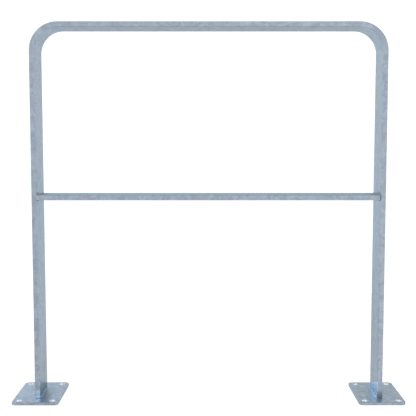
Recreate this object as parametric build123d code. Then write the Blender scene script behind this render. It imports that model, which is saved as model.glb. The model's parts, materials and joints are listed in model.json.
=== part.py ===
from build123d import *
import os

# A hoop barrier that is bolted to the ground. One flat bar is bent into the hoop, a mid rail
# of the same bar is welded between the legs, and each leg is welded to a base plate.
# Millimetres. +X runs along the width and +Z up. The origin is on the ground, midway between
# the legs and midway through the bar's depth.

# Driving dimensions
overall_width = 1000.0  # over the outer faces of the legs
overall_height = 1075.0  # from the ground to the top of the hoop
bar_thickness = 15.0
bar_depth = 100.0  # the bar's wide side, which runs front to back
bar_edge_radius = 1.5  # the rolled edges of the flat bar
bend_outer_radius = 80.0
mid_rail_height = 585.0  # from the ground to the rail's centre line

plate_width = 132.0
plate_depth = 190.0
plate_thickness = 8.0
plate_corner_radius = 12.0
plate_edge_break = 0.6  # the softened rim of the plate's top face
anchor_hole_radius = 8.0
anchor_hole_inset = 18.0  # from the plate's edges to a hole's centre

foot_weld_leg = 3.5  # the fillet's reach over the plate and up the leg
rail_weld_leg = 3.0  # the fillet's reach over the rail and along the leg
weld_crest = 0.5  # the bead's thickness where it ends on the leg
weld_slope = 45.0  # degrees that the foot weld's face leans in from upright

# Worked out from the driving dimensions
leg_centre = (overall_width - bar_thickness) / 2
leg_inner_face = overall_width / 2 - bar_thickness
bend_centre_radius = bend_outer_radius - bar_thickness / 2
top_rail_centre = overall_height - bar_thickness / 2
rail_top = mid_rail_height + bar_thickness / 2
rail_bottom = mid_rail_height - bar_thickness / 2
hole_spacing_x = plate_width - 2 * anchor_hole_inset
hole_spacing_y = plate_depth - 2 * anchor_hole_inset


def bar_section():
    """The flat bar's cross-section, thin along X."""
    return RectangleRounded(bar_thickness, bar_depth, bar_edge_radius)


def make_hoop():
    """The flat bar bent the easy way into two legs and a top rail."""
    route = FilletPolyline(
        (-leg_centre, 0, plate_thickness),
        (-leg_centre, 0, top_rail_centre),
        (leg_centre, 0, top_rail_centre),
        (leg_centre, 0, plate_thickness),
        radius=bend_centre_radius,
    )
    section = Plane(route @ 0, x_dir=(1, 0, 0), z_dir=route % 0) * bar_section()
    return sweep(section, path=route)


def make_mid_rail():
    """A straight length of the same bar, cut square to stand between the legs."""
    bar = extrude(bar_section(), amount=leg_inner_face, both=True)
    return Pos(0, 0, mid_rail_height) * Rot(0, 90, 0) * bar


def make_base_plate(side):
    """A plate with rounded corners and four anchor holes, centred under one leg."""
    holes = GridLocations(hole_spacing_x, hole_spacing_y, 2, 2) * Circle(anchor_hole_radius)
    outline = RectangleRounded(plate_width, plate_depth, plate_corner_radius) - holes
    plate = extrude(outline, amount=plate_thickness)
    rim = plate.faces().sort_by(Axis.Z)[-1].outer_wire().edges()
    return Pos(side * leg_centre, 0, 0) * chamfer(rim, plate_edge_break)


def make_foot_weld(side):
    """A fillet weld that runs all round the foot of one leg."""
    bead_outline = RectangleRounded(
        bar_thickness + 2 * foot_weld_leg,
        bar_depth + 2 * foot_weld_leg,
        bar_edge_radius + foot_weld_leg,
    )
    bead = extrude(bead_outline, amount=foot_weld_leg - weld_crest, taper=weld_slope)
    ring = bead - extrude(bar_section(), amount=foot_weld_leg)
    return Pos(side * leg_centre, 0, plate_thickness) * ring


def make_rail_weld(side, upward):
    """A straight fillet weld in the corner between the rail and one leg."""
    corner = Vector(side * leg_inner_face, rail_top if upward > 0 else rail_bottom)
    along_rail = Vector(-side * rail_weld_leg, 0)
    up_leg = Vector(0, upward * rail_weld_leg)
    crest = Vector(-side * weld_crest, 0)
    section = Polyline(
        corner, corner + along_rail, corner + up_leg + crest, corner + up_leg, close=True
    )
    bead_length = bar_depth - 2 * bar_edge_radius
    return extrude(Plane.XZ * make_face(section), amount=bead_length / 2, both=True)


parts = {"hoop": make_hoop(), "mid_rail": make_mid_rail()}
for side_name, side in (("left", -1), ("right", 1)):
    parts[f"{side_name}_base_plate"] = make_base_plate(side)
    parts[f"{side_name}_foot_weld"] = make_foot_weld(side)
    parts[f"{side_name}_rail_upper_weld"] = make_rail_weld(side, 1)
    parts[f"{side_name}_rail_lower_weld"] = make_rail_weld(side, -1)

os.makedirs("parts", exist_ok=True)
for name, shape in parts.items():
    export_step(shape, f"parts/{name}.step")
    print(f"{name}: {shape.volume:.0f} mm3")
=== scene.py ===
import json
import math
import random
import bmesh
import bpy
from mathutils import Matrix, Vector


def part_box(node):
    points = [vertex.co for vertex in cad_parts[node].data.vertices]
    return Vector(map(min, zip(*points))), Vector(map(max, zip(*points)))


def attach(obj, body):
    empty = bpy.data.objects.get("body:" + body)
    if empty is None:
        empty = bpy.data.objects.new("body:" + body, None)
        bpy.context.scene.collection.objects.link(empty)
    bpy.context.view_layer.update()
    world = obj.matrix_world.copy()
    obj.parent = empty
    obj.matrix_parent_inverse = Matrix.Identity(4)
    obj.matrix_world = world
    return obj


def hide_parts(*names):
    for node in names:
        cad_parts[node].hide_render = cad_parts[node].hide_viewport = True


# A hoop barrier that is bolted down. The bent bar and its mid rail are the CAD frame's own, with
# a zinc finish made here. The base plates and the weld beads are modelled again in finer detail.
# Metres. Each object sits at the origin, so Object coordinates are the frame's own.

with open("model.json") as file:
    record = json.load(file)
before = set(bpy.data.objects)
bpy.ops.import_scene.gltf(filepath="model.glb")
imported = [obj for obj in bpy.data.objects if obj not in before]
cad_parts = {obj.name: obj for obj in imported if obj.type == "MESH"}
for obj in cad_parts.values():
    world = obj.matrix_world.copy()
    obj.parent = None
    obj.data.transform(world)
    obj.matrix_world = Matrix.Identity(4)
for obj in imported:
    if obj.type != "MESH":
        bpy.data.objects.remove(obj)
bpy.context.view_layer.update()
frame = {"nodes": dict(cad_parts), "record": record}
nodes = frame["nodes"]
sides = {"left": -1, "right": 1}

# What the frame says
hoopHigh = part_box("hoop")[1]
railLow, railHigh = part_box("mid_rail")
plateLow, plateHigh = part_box("right_base_plate")
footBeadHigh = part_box("right_foot_weld")[1]
railBeadLow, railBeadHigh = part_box("right_rail_upper_weld")
holePattern = [m for m in frame["record"]["mounts"] if m["kind"] == "bolt_pattern"][0]["dims"]

barHalfDepth = hoopHigh.y
legOuter = hoopHigh.x
legInner = railHigh.x
legCentre = (legOuter + legInner) / 2
barHalfThickness = (legOuter - legInner) / 2
topRailCentre = hoopHigh.z - barHalfThickness
railCentre = (railLow.z + railHigh.z) / 2
plateTop = plateHigh.z
holeX = holePattern["spacing_x_mm"] / 2000
holeY = holePattern["spacing_y_mm"] / 2000
holeRadius = holePattern["hole_r_mm"] / 1000
footBeadLeg = footBeadHigh.x - legOuter
railBeadLeg = legInner - railBeadLow.x
railBeadEnd = railBeadHigh.y
print("frame loaded:", len(nodes), "nodes")


class Wire:
    # one output of a node; arithmetic on it adds Math nodes to its tree
    def __init__(self, tree, socket=None):
        self.tree = tree
        self.socket = socket

    def node(self, kind, settings, sockets, output=0):
        made = self.tree.nodes.new(kind)
        for name, value in settings.items():
            setattr(made, name, value)
        for name, value in sockets.items():
            if isinstance(value, Wire):
                self.tree.links.new(value.socket, made.inputs[name])
            else:
                made.inputs[name].default_value = value
        return Wire(self.tree, made.outputs[output]) if made.outputs else None

    def maths(self, operation, *values):
        return self.node("ShaderNodeMath", {"operation": operation}, dict(enumerate(values)))

    def __add__(self, other):
        return self.maths("ADD", self, other)

    def __sub__(self, other):
        return self.maths("SUBTRACT", self, other)

    def __rsub__(self, other):
        return self.maths("SUBTRACT", other, self)

    def __mul__(self, other):
        return self.maths("MULTIPLY", self, other)

    def __abs__(self):
        return self.maths("ABSOLUTE", self)

    __radd__ = __add__
    __rmul__ = __mul__

    def above(self, least):
        return self.maths("MAXIMUM", self, least)

    def below(self, most):
        return self.maths("MINIMUM", self, most)

    def root(self):
        return self.maths("SQRT", self)

    def sign(self):
        return self.maths("SIGN", self)

    def rise(self, start, end, low=0.0, high=1.0):
        # a smooth step from low at start to high at end
        return self.node(
            "ShaderNodeMapRange", {"interpolation_type": "SMOOTHSTEP"},
            {"Value": self, "From Min": start, "From Max": end, "To Min": low, "To Max": high},
        )

    def fall(self, start, end):
        return self.rise(start, end, 1.0, 0.0)

    def vector(self, x, y, z):
        return self.node("ShaderNodeCombineXYZ", {}, {"X": x, "Y": y, "Z": z})

    def parts(self):
        return [self.node("ShaderNodeSeparateXYZ", {}, {"Vector": self}, axis) for axis in "XYZ"]

    def shifted(self, step):
        return self.node("ShaderNodeVectorMath", {"operation": "ADD"}, {0: self, 1: step})

    def scaled(self, factor):
        return self.node("ShaderNodeVectorMath", {"operation": "SCALE"}, {0: self, "Scale": factor})

    def blend(self, first, second):
        # self is the share of the second colour
        return self.node("ShaderNodeMix", {"data_type": "RGBA"}, {0: self, 6: first, 7: second}, 2)

    def noise(self, size, detail=2.0, roughness=0.5):
        # size is the width of one lump in metres; the value runs from -1 to 1
        return self.node(
            "ShaderNodeTexNoise", {},
            {"Vector": self, "Scale": 1 / size, "Detail": detail, "Roughness": roughness},
        ) * 2 - 1

    def cells(self, size, softness):
        # the random colour of each crystal, with soft edges
        return self.node(
            "ShaderNodeTexVoronoi", {"feature": "SMOOTH_F1"},
            {"Vector": self, "Scale": 1 / size, "Smoothness": softness}, "Color",
        )


sideFade = 0.02  # a mask turns from the left side to the right side over twice this width


def leftOrRight(x, left, right):
    return x.rise(-sideFade, sideFade, left, right)


def nearFront(y, depths):
    # the bar's front face, fading between two depths behind it
    return y.fall(-barHalfDepth + depths[0], -barHalfDepth + depths[1])


def nearInside(x, depths):
    # the right leg's inner face, fading between two depths into the leg
    return x.fall(legInner + depths[0], legInner + depths[1])


zincCoat = {
    "warpSize": 0.030,  # slow bends in the crystals' edges
    "warpReach": (0.004, 0.003, -0.004),
    "crystalSoftness": 0.35,
    "cloudNoise": (4, 0.6),  # detail and roughness
    "grainNoise": (3, 0.6),
    "driftNoise": (3, 0.55),
    "driftWeight": 1.6,  # beside each crystal's own turn of tint
    "swellSize": 0.013,  # slow swells that the bath leaves
    "turnGloss": 0.08,  # how far each pattern moves the roughness
    "cloudGloss": 0.04,
    "grainGloss": 0.03,
    "crystalRelief": 0.03,  # millimetres
    "grainRelief": 0.008,
    "swellRelief": 0.035,
    "reliefUnit": 0.001,
    "roughnessRange": (0.06, 0.9),
    "edgeTint": (0.71, 0.76, 0.79, 1),  # it brightens less than a clean metal at a low angle
}


def zincLook(place, look):
    # what every dipped surface shares: its tone, tint, roughness and relief
    coat = zincCoat
    warp = place.noise(coat["warpSize"])
    flow = place.shifted(place.vector(*[warp * reach for reach in coat["warpReach"]]))
    pick, turn, lift = flow.cells(look["spangleSize"], coat["crystalSoftness"]).parts()
    clouds = place.noise(look["cloudSize"], *coat["cloudNoise"])
    grain = place.noise(look["grainSize"], *coat["grainNoise"])
    drift = place.noise(look["driftSize"], *coat["driftNoise"])
    tone = (
        1
        + (pick - 0.5) * (2 * look["spangleContrast"])
        + clouds * look["cloudContrast"]
        + grain * look["grainContrast"]
    )
    share = (drift * coat["driftWeight"] + turn).rise(0.0, 1.0)
    tint = share.blend(look["cool"], look["violet"])
    roughness = (
        look["roughness"]
        + (turn - 0.5) * coat["turnGloss"]
        + clouds * coat["cloudGloss"]
        + grain * coat["grainGloss"]
    )
    relief = (
        (lift - 0.5) * coat["crystalRelief"]
        + grain * coat["grainRelief"]
        + place.noise(coat["swellSize"]) * coat["swellRelief"]
    )
    return tone, tint, roughness, relief


def newFinish(name):
    material = bpy.data.materials.new(name)
    material.use_nodes = True
    material.node_tree.nodes.clear()
    place = Wire(material.node_tree).node("ShaderNodeTexCoord", {}, {}, "Object")
    return material, place


def coverWith(colour, roughness, relief, metallic=1.0):
    least, most = zincCoat["roughnessRange"]
    roughness = roughness.above(least).below(most)
    bump = colour.node(
        "ShaderNodeBump", {}, {"Distance": zincCoat["reliefUnit"], "Height": relief},
    )
    shader = colour.node(
        "ShaderNodeBsdfPrincipled", {},
        {"Base Color": colour, "Metallic": metallic, "Roughness": roughness,
         "Specular Tint": zincCoat["edgeTint"], "Normal": bump},
    )
    colour.node("ShaderNodeOutputMaterial", {}, {"Surface": shader})


# painted reflection: lighter, bluer zinc low on the left leg's front, on the right leg's inner face
# and on the left plate in front of its leg; softboxes light these places as well
paintedFootSheen = {
    "legSheenColour": (0.47, 0.60, 0.76, 1),  # bluer zinc at the feet: a painted reflection
    "plateSheenColour": (0.41, 0.50, 0.60, 1),  # and its painted reflection on the left plate
    "legHeight": 0.020,
    "frontDepths": (0.0005, 0.0020),  # how deep it shows on the left leg's front face
    "innerDepths": (0.0003, 0.0015),  # and on the right leg's inner face
    "innerSlope": 0.32,  # there it climbs towards the front edge
    "innerHeight": 0.030,
    "fade": 0.008,
    "innerFade": 0.002,
    "lean": 0.22,  # how far the painted reflection on the plate leans inwards towards the front
    "plateSheenDepths": (-0.001, 0.001),
    "plateSheenFade": 0.002,
    "rimFade": (0.0006, 0.0016),  # it stops behind the plate's front rim
}


def sheenOnLegs(x, y, z):
    # painted reflection on the left leg's front face and the right leg's inner face, near the
    # ground
    look = paintedFootSheen
    fade, innerFade = look["fade"], look["innerFade"]
    height = z - plateTop
    climb = height + y * look["innerSlope"]
    front = nearFront(y, look["frontDepths"])
    front = front * height.fall(look["legHeight"] - fade, look["legHeight"] + fade)
    inside = nearInside(x, look["innerDepths"])
    inside = inside * climb.fall(look["innerHeight"] - innerFade, look["innerHeight"] + innerFade)
    return leftOrRight(x, front, inside)


def sheenOnPlates(x, y):
    # the painted reflection on the plate in front of the left leg
    look = paintedFootSheen
    fade = look["plateSheenFade"]
    behindRim = y.rise(plateLow.y + look["rimFade"][0], plateLow.y + look["rimFade"][1])
    fromMiddle = abs(x + y * look["lean"] + (legCentre + barHalfDepth * look["lean"]))
    across = fromMiddle.fall(barHalfThickness - fade, barHalfThickness + fade)
    return nearFront(y, look["plateSheenDepths"]) * behindRim * across


barZinc = {
    "cool": (0.285, 0.348, 0.408, 1),
    "violet": (0.308, 0.345, 0.412, 1),
    "spangleSize": 0.010,
    "spangleContrast": 0.12,
    "cloudSize": 0.030,
    "cloudContrast": 0.09,
    "driftSize": 0.009,
    "grainSize": 0.0022,
    "grainContrast": 0.07,
    "roughness": 0.29,
    "bendRadius": 0.0725,  # of the bar's centre line
    "lineContrast": 0.06,  # faint lines along the bar, from the rolling mill
    "linesPerMetre": (2.6, 260),  # along the bar and across it
    "lineNoise": (3, 0.6),
    # painted shadow in the right joint's open front seam
    "seamWidth": 0.0016,
    "seamShift": 0.0004,
    "seamEnd": 0.0010,
    "seamDepths": (0.0020, 0.0030),
    "seamShadowColour": (0.05, 0.065, 0.085, 1),
    "seamRoughness": 0.3,
    "seamDullness": 0.7,
    "topDulling": 0.28,  # the rail's upper face weathers duller
    "topSkin": (0.0015, 0.0002),
    "underShade": 0.36,  # painted shade: the hoop's underside darker
    "underSkin": (0.0008, 0.0002),
    "underEnd": (0.01, 0.03),  # past the start of the bend
    "lowInnerShade": 0.12,  # painted shade: the right leg's inner face is a little darker near the ground
    "headGain": 0.04,  # painted light: lighter further up
    "sheenGain": 0.12,  # and lighter in the painted reflection at the feet
    "gradeHeights": (0.05, 0.55),
    "gradeDepths": (0.0010, 0.0030),
    "railPatternShift": (3.1, 0, 0),  # so that the rail's crystals aren't the hoop's
}


def seamShadow(x, y, z, look):
    # painted shadow: a dark line down the unwelded front edge of the right joint, between the
    # rail's end and the leg, for the shade in that gap
    width = look["seamWidth"]
    across = abs(x - legInner - look["seamShift"]).fall(width / 2, width)
    along = abs(z - railCentre).fall(barHalfThickness - look["seamEnd"], barHalfThickness)
    return across * along * nearFront(y, look["seamDepths"])


def drawnLines(run, across, through, look):
    # the mill's faint lines, long along the bar and fine across it
    slow, fine = look["linesPerMetre"]
    stretched = run.vector(run * slow, across * fine, through * fine)
    return stretched.noise(1.0, *look["lineNoise"]) * look["lineContrast"]


def coverBar(colour, roughness, relief, seam, look):
    coverWith(
        seam.blend(colour, look["seamShadowColour"]), roughness + seam * look["seamRoughness"], relief,
        1 - seam * look["seamDullness"],
    )


def makeHoopZinc(look):
    material, place = newFinish("zinc on the bent bar")
    x, y, z = place.parts()
    bend = look["bendRadius"]
    bendX = legCentre - bend
    bendZ = topRailCentre - bend
    # unrolls the bent bar, so that the pattern follows it round the bends
    outward = (abs(x) - bendX).above(0)
    upward = (z - bendZ).above(0)
    turned = outward.maths("ARCTAN2", upward, outward)
    fromFoot = z.below(bendZ) + turned * bend + (bendX - abs(x).below(bendX))
    run = (bendX + bendZ + bend * math.pi / 2 - fromFoot) * x.sign()
    through = (outward * outward + upward * upward).root() - bend
    tone, tint, roughness, relief = zincLook(place.vector(run, y, through), look)
    # painted shade on the hoop's underside, as far as the start of the bends
    under = through.rise(*[skin - barHalfThickness for skin in look["underSkin"]])
    under = under * abs(x).fall(bendX - look["underEnd"][0], bendX + look["underEnd"][1])
    under = under * z.rise(bendZ, topRailCentre)
    # the painted reflection at the feet
    sheen = sheenOnLegs(x, y, z)
    # painted shade low on the right leg's inner face, painted light higher up and in the painted
    # reflection
    grade = z.rise(*look["gradeHeights"], -look["lowInnerShade"], look["headGain"])
    grade = sheen.rise(0.0, 1.0, grade, look["sheenGain"])
    inside = leftOrRight(x, 0.0, nearInside(x, look["gradeDepths"]))
    tone = tone + drawnLines(run, y, through, look)
    tone = tone * (1 - under * look["underShade"]) * (1 + inside * grade)
    colour = sheen.blend(tint, paintedFootSheen["legSheenColour"]).scaled(tone)
    coverBar(colour, roughness, relief, seamShadow(x, y, z, look), look)
    return material


def makeRailZinc(look):
    material, place = newFinish("zinc on the straight bar")
    x, y, z = place.parts()
    tone, tint, roughness, relief = zincLook(place.shifted(look["railPatternShift"]), look)
    colour = tint.scaled(tone + drawnLines(x, y, z, look))
    top = z.rise(*[railHigh.z - skin for skin in look["topSkin"]])
    roughness = roughness + top * look["topDulling"]
    coverBar(colour, roughness, relief, seamShadow(x, y, z, look), look)
    return material


plateZinc = {
    "cool": (0.285, 0.345, 0.410, 1),
    "violet": (0.305, 0.345, 0.405, 1),
    "spangleSize": 0.009,
    "spangleContrast": 0.15,
    "cloudSize": 0.030,
    "cloudContrast": 0.10,
    "driftSize": 0.012,
    "grainSize": 0.0020,
    "grainContrast": 0.07,
    "roughness": 0.40,
    "leftPlateLight": 0.10,  # painted light: the outer half of the left plate is a little brighter
    "leftPlateLightFade": (-0.0675, 0.0025),  # beside the leg's middle
    "leftFrontShade": 0.08,  # and its front edge darker, a painted shade
    "frontSkin": (0.0002, 0.0010),
    "legShadeStrength": 0.25,  # painted shade on the left plate beside the inner face of its leg, for the leg's shadow and its dark reflection
    "legShadeStart": 0.002,
    "legShadeReach": (0.022, 0.036),
    "legShadeBack": (-0.02, 0.06),  # where it thins out towards the rear
    "legShadeRest": 0.2,
    "holeGlint": (0.86, 0.92, 0.97, 1),  # painted glints: near-white patches on the hole walls
    "holeSkin": (0.0002, 0.0008),
    "glintSize": 0.0045,
    "glintDetail": 1,
    "glintStart": -0.40,
    "glintDullness": 0.9,
}


def plateLegShade(x, y, look):
    # it leans with the painted reflection beside it
    fromLeg = x - (-barHalfDepth - y).above(0) * paintedFootSheen["lean"] + legInner
    reach = fromLeg.rise(-look["legShadeStart"], 0.0) * fromLeg.fall(*look["legShadeReach"])
    return reach * y.rise(*look["legShadeBack"], 1.0, look["legShadeRest"])


def makePlateZinc(look):
    material, place = newFinish("zinc on the base plates")
    x, y = place.parts()[:2]
    tone, tint, roughness, relief = zincLook(place, look)
    # painted light on the outer half of the left plate
    tone = tone + x.rise(*[fade - legCentre for fade in look["leftPlateLightFade"]], look["leftPlateLight"], 0.0)
    frontEdge = y.fall(*[plateLow.y + skin for skin in look["frontSkin"]])
    # painted shade on the left plate's front edge
    tone = tone - frontEdge * leftOrRight(x, look["leftFrontShade"], 0.0)
    # painted shade beside the left leg's inner face
    tone = tone * (1 - plateLegShade(x, y, look) * (1 - frontEdge) * look["legShadeStrength"])
    colour = sheenOnPlates(x, y).blend(tint, paintedFootSheen["plateSheenColour"]).scaled(tone)
    holeAcross = abs(abs(x) - legCentre) - holeX
    holeAlong = abs(y) - holeY
    fromHole = (holeAcross * holeAcross + holeAlong * holeAlong).root()
    wall = fromHole.fall(*[holeRadius + skin for skin in look["holeSkin"]])
    # painted glints in patches on the hole walls
    glints = place.noise(look["glintSize"], look["glintDetail"]).rise(look["glintStart"], 0.0)
    glints = wall * glints
    colour = glints.blend(colour, look["holeGlint"])
    coverWith(colour, roughness, relief, 1 - glints * look["glintDullness"])
    return material


beadZinc = {
    "cool": (0.20, 0.245, 0.29, 1),
    "violet": (0.215, 0.245, 0.29, 1),
    "spangleSize": 0.004,
    "spangleContrast": 0.16,
    "cloudSize": 0.012,
    "cloudContrast": 0.14,
    "driftSize": 0.006,
    "grainSize": 0.0012,
    "grainContrast": 0.10,
    "roughness": 0.30,
    "sheen": (0.42, 0.55, 0.69, 1),  # painted reflection: bluer beads in front of the left leg and inside the right one
    "innerShade": 0.54,  # painted shade on the beads on the inner side
    "sheenInnerShade": 0.69,
    "railShade": 0.78,  # and most of all along the mid rail
    # painted shade on the right foot's front bead
    "rightFrontShade": 0.35,
    "innerDepths": (-0.0012, 0.0),
    "frontDepths": (-0.001, 0.001),
    "aboveFeet": (0.1, 0.2),
}


def makeBeadZinc(look):
    material, place = newFinish("zinc on the weld beads")
    tone, tint, roughness, relief = zincLook(place, look)
    x, y, z = place.parts()
    inner = nearInside(abs(x), look["innerDepths"])
    front = (1 - inner) * nearFront(y, look["frontDepths"])
    # painted reflection at the feet, painted shade on the inner beads and the right front bead
    sheen = z.rise(*look["aboveFeet"], leftOrRight(x, front, inner), 0.0)
    innerShade = sheen.rise(0.0, 1.0, look["innerShade"], look["sheenInnerShade"])
    innerShade = z.rise(*look["aboveFeet"], innerShade, look["railShade"])
    shade = inner * innerShade + front * leftOrRight(x, 0.0, look["rightFrontShade"])
    colour = sheen.blend(tint, look["sheen"]).scaled(tone * (1 - shade))
    coverWith(colour, roughness, relief)
    return material


hoopFinish = makeHoopZinc(barZinc)
railFinish = makeRailZinc(barZinc)
plateFinish = makePlateZinc(plateZinc)
beadFinish = makeBeadZinc(beadZinc)
nodes["hoop"].material_slots[0].material = hoopFinish
nodes["mid_rail"].material_slots[0].material = railFinish
print("zinc finishes made")


def addPiece(name, bm, finish, standsFor):
    # turns a bmesh into a piece of the barrier
    bmesh.ops.recalc_face_normals(bm, faces=bm.faces[:])
    for face in bm.faces:
        face.smooth = True
    mesh = bpy.data.meshes.new(name)
    bm.to_mesh(mesh)
    bm.free()
    mesh.materials.append(finish)
    piece = bpy.data.objects.new(name, mesh)
    bpy.context.scene.collection.objects.link(piece)
    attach(piece, "root")
    if standsFor:
        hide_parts(standsFor)
    return piece


def extruded(bm, edges):
    # extrudes open loops and returns the new vertices and edges
    made = bmesh.ops.extrude_edge_only(bm, edges=edges)["geom"]
    verts = [item for item in made if isinstance(item, bmesh.types.BMVert)]
    rims = [item for item in made if isinstance(item, bmesh.types.BMEdge) and item.is_boundary]
    return verts, rims


plateShape = {
    "cornerRadius": 0.012,
    "cornerSegments": 10,
    "edgeRadius": 0.0008,  # the softened rims of the plate and its holes
    "edgeSegments": 4,
    "holeSegments": 48,
}


def makePlate(sideName):
    shape = plateShape
    radius = shape["edgeRadius"]
    low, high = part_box(sideName + "_base_plate")
    middle = (low + high) / 2
    size = high - low
    bm = bmesh.new()
    bmesh.ops.create_grid(bm, x_segments=1, y_segments=1, size=0.5)
    bmesh.ops.scale(bm, vec=(size.x, size.y, 1), verts=bm.verts[:])
    bmesh.ops.translate(bm, vec=(middle.x, middle.y, 0), verts=bm.verts[:])
    bmesh.ops.bevel(
        bm, geom=bm.verts[:], offset=shape["cornerRadius"], offset_type="OFFSET",
        segments=shape["cornerSegments"], profile=0.5, affect="VERTICES", material=-1,
    )
    bmesh.ops.delete(bm, geom=bm.faces[:], context="FACES_ONLY")
    # each rim vertex keeps the centre and the radius of its arc; a hole's radius is negative
    arcX = bm.verts.layers.float.new("arcX")
    arcY = bm.verts.layers.float.new("arcY")
    arcRadius = bm.verts.layers.float.new("arcRadius")
    cornerX = size.x / 2 - shape["cornerRadius"]
    cornerY = size.y / 2 - shape["cornerRadius"]
    for vert in bm.verts:
        vert[arcX] = middle.x + math.copysign(cornerX, vert.co.x - middle.x)
        vert[arcY] = middle.y + math.copysign(cornerY, vert.co.y - middle.y)
        vert[arcRadius] = shape["cornerRadius"]
    for signX in (-1, 1):
        for signY in (-1, 1):
            centre = Vector((middle.x + signX * holeX, middle.y + signY * holeY, 0))
            ring = bmesh.ops.create_circle(
                bm, cap_ends=False, segments=shape["holeSegments"], radius=holeRadius,
            )["verts"]
            bmesh.ops.translate(bm, vec=centre, verts=ring)
            for vert in ring:
                vert[arcX] = centre.x
                vert[arcY] = centre.y
                vert[arcRadius] = -holeRadius

    def settle(verts, inset, height):
        for vert in verts:
            centre = Vector((vert[arcX], vert[arcY], 0))
            outward = Vector((vert.co.x, vert.co.y, 0)) - centre
            reach = abs(vert[arcRadius] - inset)
            vert.co = centre + outward.normalized() * reach
            vert.co.z = height

    rims = bm.edges[:]
    settle(bm.verts[:], radius, low.z)
    bmesh.ops.triangle_fill(bm, use_beauty=True, edges=rims, normal=(0, 0, -1))
    steps = range(1, shape["edgeSegments"] + 1)
    quarter = [math.pi / 2 * step / shape["edgeSegments"] for step in steps]
    # the rim rolls out from the underside, runs up and rolls in to the top
    lower = [(radius * (1 - math.sin(a)), low.z + radius * (1 - math.cos(a))) for a in quarter]
    upper = [(radius * (1 - math.cos(a)), high.z - radius * (1 - math.sin(a)))
             for a in [0] + quarter]
    for inset, height in lower + upper:
        verts, rims = extruded(bm, rims)
        settle(verts, inset, height)
    bmesh.ops.triangle_fill(bm, use_beauty=True, edges=rims, normal=(0, 0, 1))
    piece = addPiece(
        sideName + "Plate", bm, plateFinish, sideName + "_base_plate",
    )
    shading = piece.modifiers.new("flat faces stay flat", "WEIGHTED_NORMAL")
    shading.keep_sharp = False
    return piece


for sideName in sides:
    makePlate(sideName)
print("base plates made")


beadShape = {
    "faceSteps": 8,  # across the bead's face
    "belly": 2.5,  # 2 is a flat face, 1 a full quarter round and 3 a deep hollow
    "buried": 0.0003,  # how far a bead runs into the steel that it joins
    "spacing": 0.0005,  # between stations along the bead
    "rippleHeight": 0.00012,
    "rippleBow": 0.55,
    "rippleSkew": 0.6,  # each ripple climbs faster than it falls
    "rippleRange": (0.6, 1.3),  # the least and the greatest ripple beside the usual one
}


def sweptBead(place, stations, closed):
    # a ring of vertices extruded from station to station; place puts each vertex
    around = beadShape["faceSteps"] + 4
    bm = bmesh.new()
    order = bm.verts.layers.int.new("order")
    bmesh.ops.create_circle(bm, cap_ends=not closed, segments=around, radius=1.0)
    for index, vert in enumerate(bm.verts):
        vert[order] = index
        vert.co = place(0, index)
    rims = bm.edges[:]
    for station in range(1, stations + 1):
        verts, rims = extruded(bm, rims)
        for vert in verts:
            vert.co = place(station, vert[order])
    if closed:
        bmesh.ops.remove_doubles(bm, verts=bm.verts[:], dist=1e-6)
    else:
        bmesh.ops.edgeloop_fill(bm, edges=rims)
    return bm


def beadSection(index, leg, ripple):
    # a vertex of the bead's closed section, as reaches away from the two faces that it joins
    steps = beadShape["faceSteps"]
    buried = beadShape["buried"]
    if index > steps:
        return [(leg, -buried), (-buried, -buried), (-buried, leg)][index - steps - 1]
    turn = math.pi / 2 * index / steps
    reach = leg + ripple * math.sin(2 * turn)
    return (
        reach * max(math.sin(turn), 0) ** beadShape["belly"],
        reach * max(math.cos(turn), 0) ** beadShape["belly"],
    )


def rippleAt(distance, index, pitch, beats):
    # fish-scale ripples, each bowed across the face and a little unlike the next
    across = index / beadShape["faceSteps"] * 2 - 1
    phase = distance / pitch + beadShape["rippleBow"] * (1 - across * across)
    beat = math.floor(phase)
    rise = math.sin(math.pi * (phase - beat) ** beadShape["rippleSkew"])
    return beadShape["rippleHeight"] * beats[beat % len(beats)] * (rise - 0.5)


footBeadShape = {
    "barEdgeRadius": 0.0015,
    "pitch": 0.0023,
    "size": 0.72,  # beside the frame's bead, which is the most that it could be
    "sway": 0.06,
    "swayTurns": 3,  # it swells and thins three times on its way round
    "seeds": {"left": 11, "right": 12},
}


def makeFootBead(sideName):
    # follows the bar's outline on the plate; normals turn with the bar's rounded edges
    shape = footBeadShape
    edge = shape["barEdgeRadius"]
    flats = [2 * (barHalfDepth - edge), 2 * (barHalfThickness - edge)] * 2
    arc = (edge + footBeadLeg / 2) * math.pi / 2
    length = sum(flats) + 4 * arc
    stations = round(length / beadShape["spacing"])
    pitch = length / round(length / shape["pitch"])
    draw = random.Random(shape["seeds"][sideName])
    beats = [draw.uniform(*beadShape["rippleRange"]) for _ in range(round(length / pitch))]
    swayStart = draw.uniform(0, 2 * math.pi)
    centreX = sides[sideName] * legCentre

    def spine(distance):
        # the centre of the bar's edge rounding, and the way out
        corner = Vector((barHalfThickness - edge, -(barHalfDepth - edge)))
        for quarter, flat in enumerate(flats):
            out = Vector((math.cos(quarter * math.pi / 2), math.sin(quarter * math.pi / 2)))
            ahead = Vector((-out.y, out.x))
            if distance <= flat:
                return corner + ahead * distance, out
            corner = corner + ahead * flat
            distance -= flat
            if distance <= arc:
                angle = quarter * math.pi / 2 + distance / arc * math.pi / 2
                return corner, Vector((math.cos(angle), math.sin(angle)))
            distance -= arc
        return corner, Vector((1, 0))

    def place(station, index):
        distance = length * (station % stations) / stations
        spot, out = spine(distance)
        wave = math.sin(2 * math.pi * shape["swayTurns"] * distance / length + swayStart)
        leg = footBeadLeg * (shape["size"] + shape["sway"] * wave)
        reach, height = beadSection(index, leg, rippleAt(distance, index, pitch, beats))
        flatSpot = spot + out * (edge + reach)
        return Vector((centreX + flatSpot.x, flatSpot.y, plateTop + height))

    bm = sweptBead(place, stations, True)
    return addPiece(
        sideName + "FootBead", bm, beadFinish, sideName + "_foot_weld",
    )


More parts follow.
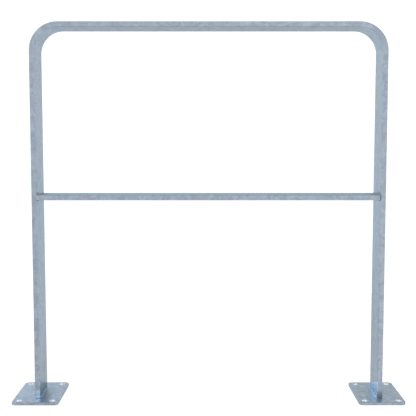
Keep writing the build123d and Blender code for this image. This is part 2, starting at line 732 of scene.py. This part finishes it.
railBeadShape = {
    "pitch": 0.0021,
    "size": 0.94,
    "sway": 0.05,
    "swayPace": 160,  # radians a metre
    "endTaper": 0.012,
    "endSize": 0.15,
    "drawnRipples": 60,
    "seed": 21,
}


def makeRailBead(sideName, levelName):
    # straight along the corner between the mid rail and a leg, with tapered ends
    shape = railBeadShape
    side = sides[sideName]
    up = 1 if levelName == "upper" else -1
    faceZ = railHigh.z if up > 0 else railLow.z
    length = 2 * railBeadEnd
    stations = round(length / beadShape["spacing"])
    draw = random.Random(shape["seed"] + side + 3 * up)
    beats = [draw.uniform(*beadShape["rippleRange"]) for _ in range(shape["drawnRipples"])]
    swayStart = draw.uniform(0, 2 * math.pi)

    def place(station, index):
        distance = length * station / stations
        fromEnd = min(distance, length - distance, shape["endTaper"]) / shape["endTaper"]
        rounded = math.sqrt(1 - (1 - fromEnd) ** 2)
        taper = shape["endSize"] + (1 - shape["endSize"]) * rounded
        wave = math.sin(distance * shape["swayPace"] + swayStart)
        leg = railBeadLeg * taper * (shape["size"] + shape["sway"] * wave)
        ripple = rippleAt(distance, index, shape["pitch"], beats)
        reach, height = beadSection(index, leg, ripple * taper)
        return Vector((side * (legInner - reach), distance - railBeadEnd, faceZ + up * height))

    bm = sweptBead(place, stations, False)
    return addPiece(
        sideName + levelName.title() + "RailBead", bm, beadFinish,
        f"{sideName}_rail_{levelName}_weld",
    )


for sideName in sides:
    makeFootBead(sideName)
    for levelName in ("upper", "lower"):
        makeRailBead(sideName, levelName)
print("weld beads made")


jointFillShape = {
    "reachLeg": 0.0020,  # over the leg's rounded edge
    "reachRail": 0.0016,  # and over the end of the rail
    "depth": 0.0016,
    "skin": 0.00006,  # how far its face stays behind the bar's
    "endGap": 0.0006,  # and its ends inside the rail's faces
    "edgeRadius": 0.0005,
    "edgeSegments": 3,
    "cuts": 3,
    "sharpAngle": 1.0,  # radians; an edge that turns more is rounded
}


def makeJointFill():
    # at the front of the left joint the groove is filled with weld and dressed flush
    shape = jointFillShape
    width = shape["reachLeg"] + shape["reachRail"]
    height = railHigh.z - railLow.z - 2 * shape["endGap"]
    bm = bmesh.new()
    verts = bmesh.ops.create_cube(bm, size=1.0)["verts"]
    bmesh.ops.scale(bm, vec=(width, shape["depth"], height), verts=verts)
    bmesh.ops.translate(
        bm, verts=verts, vec=(
            -legInner + (shape["reachRail"] - shape["reachLeg"]) / 2,
            -barHalfDepth + shape["skin"] + shape["depth"] / 2,
            railCentre,
        ),
    )
    bmesh.ops.subdivide_edges(bm, edges=bm.edges[:], cuts=shape["cuts"], use_grid_fill=True)
    rim = [edge for edge in bm.edges if edge.calc_face_angle(0) > shape["sharpAngle"]]
    bmesh.ops.bevel(
        bm, geom=rim, offset=shape["edgeRadius"], offset_type="OFFSET",
        segments=shape["edgeSegments"], profile=0.5, affect="EDGES", material=-1,
    )
    return addPiece("leftJointFill", bm, railFinish, None)


makeJointFill()
print("joint fill made")


skyLook = {
    "dome": (1.19, 1.20, 1.21, 1),
    "overhead": (0.88, 0.90, 0.93, 1),
    "overheadRise": (0.35, 0.80),  # sines of the heights between which the dome gives way to it
    "horizon": (1.16, 1.17, 1.19, 1),  # low behind the barrier
    "horizonFall": (0.05, 0.16),
    "horizonBack": (0.3, 0.8),
    "backLeft": (1.52, 1.60, 1.69, 1),  # a brighter band behind, for the tops of the plates
    "backRight": (1.21, 1.20, 1.12, 1),
    "backTurn": (-0.30, 0.25),
    "bandRise": (0.12, 0.26),
    "bandFall": (0.45, 0.75),
    "bandBack": (0.4, 0.8),
}


def makeSky(look):
    world = bpy.data.worlds.new("pale studio")
    bpy.context.scene.world = world
    world.use_nodes = True
    world.node_tree.nodes.clear()
    ray = Wire(world.node_tree).node("ShaderNodeTexCoord", {}, {}, "Generated")
    x, y, z = ray.parts()
    back = x.rise(*look["backTurn"]).blend(look["backLeft"], look["backRight"])
    band = z.rise(*look["bandRise"]) * z.fall(*look["bandFall"]) * y.rise(*look["bandBack"])
    low = y.rise(*look["horizonBack"]) * z.fall(*look["horizonFall"])
    dome = z.rise(*look["overheadRise"]).blend(look["dome"], look["overhead"])
    glow = band.blend(low.blend(dome, look["horizon"]), back)
    sky = ray.node("ShaderNodeBackground", {}, {"Color": glow, "Strength": 1.0})
    sky.node("ShaderNodeOutputWorld", {}, {"Surface": sky})


floorLook = {
    "size": 40.0,
    "colour": (0.15, 0.15, 0.15, 1),
    "roughness": 0.9,
    "near": (0.90, 0.89, 0.88, 1),  # the glow under the barrier and beside it
    "front": (0.98, 0.98, 0.98, 1),
    "rightFront": (1.12, 1.12, 1.12, 1),
    "back": (0.95, 0.98, 1.00, 1),
    "leftBack": (0.94, 1.01, 1.09, 1),
    "nearTurn": (0.0, 0.6),  # metres to the right, over which near becomes front
    "frontTurn": (-0.4, 1.2),
    "backTurn": (-1.5, 0.0),
    "nearStart": (-3.5, -0.8),  # metres to the rear
    "backStart": (0.2, 0.9),
}


def makeFloor(look):
    bm = bmesh.new()
    bmesh.ops.create_grid(bm, x_segments=4, y_segments=4, size=look["size"] / 2)
    mesh = bpy.data.meshes.new("studioFloor")
    bm.to_mesh(mesh)
    bm.free()
    floor = bpy.data.objects.new("studioFloor", mesh)
    bpy.context.scene.collection.objects.link(floor)
    material, place = newFinish("pale floor")
    x, y = place.parts()[:2]
    back = x.rise(*look["backTurn"]).blend(look["leftBack"], look["back"])
    front = x.rise(*look["frontTurn"]).blend(look["front"], look["rightFront"])
    near = x.rise(*look["nearTurn"]).blend(look["near"], front)
    behind = y.rise(*look["backStart"]).blend(near, back)
    glow = y.rise(*look["nearStart"]).blend(front, behind)
    shader = place.node(
        "ShaderNodeBsdfPrincipled", {},
        {"Base Color": look["colour"], "Roughness": look["roughness"], "Specular IOR Level": 0.0,
         "Emission Color": glow, "Emission Strength": 1.0},
    )
    place.node("ShaderNodeOutputMaterial", {}, {"Surface": shader})
    mesh.materials.append(material)


# where each softbox stands and aims, its size, spread in degrees, brightness beside white, colour
softboxes = {
    "keySoftbox": ((0.0, -3.0, 3.2), (0.0, 0.0, 0.5), (1.6, 1.0), 180, 1.6, (1.0, 1.0, 1.0)),
    "leftFootSoftbox": (
        (-0.76, -1.24, 0.42), (-0.4925, -0.070, 0.015), (0.34, 0.30), 30, 4.1, (0.78, 0.90, 1.0),
    ),
    "rightFootSoftbox": (
        (0.235, 1.16, 0.42), (0.480, -0.010, 0.020), (0.34, 0.30), 30, 5.2, (0.64, 0.86, 1.0),
    ),
    "leftInnerSoftbox": (
        (-0.235, 1.16, 0.42), (-0.480, -0.010, 0.020), (0.30, 0.26), 26, 4.0, (0.66, 0.84, 1.0),
    ),
}


def makeSoftbox(name, place, aim, size, spread, glow, colour):
    # a narrow spread is a honeycomb grid in front of the cloth; focus keeps its axis as bright
    lamp = bpy.data.lights.new(name, "AREA")
    lamp.shape = "RECTANGLE"
    lamp.size, lamp.size_y = size
    half = math.radians(spread) / 2
    focus = math.tan(half) / (math.tan(half) - half) if spread < 180 else 1.0
    lamp.spread = 2 * half
    lamp.energy = glow * math.pi * size[0] * size[1] / focus
    lamp.color = colour
    softbox = bpy.data.objects.new(name, lamp)
    softbox.location = place
    softbox.rotation_euler = (Vector(aim) - Vector(place)).to_track_quat("-Z", "Y").to_euler()
    softbox.visible_camera = False
    bpy.context.scene.collection.objects.link(softbox)


cameraLook = {
    "place": (-0.0019, -2.2604, 0.7421),
    "pitch": -0.084,  # radians up from level
    "lens": 68.01,
}


def makeCamera(look):
    camera = bpy.data.cameras.new("camera")
    camera.lens = look["lens"]
    holder = bpy.data.objects.new("camera", camera)
    holder.location = look["place"]
    holder.rotation_euler = (math.pi / 2 + look["pitch"], 0, 0)
    bpy.context.scene.collection.objects.link(holder)
    bpy.context.scene.camera = holder


makeSky(skyLook)
makeFloor(floorLook)
for name, settings in softboxes.items():
    makeSoftbox(name, *settings)
makeCamera(cameraLook)
bpy.context.scene.view_settings.view_transform = "Standard"
print("studio, lights and camera made")
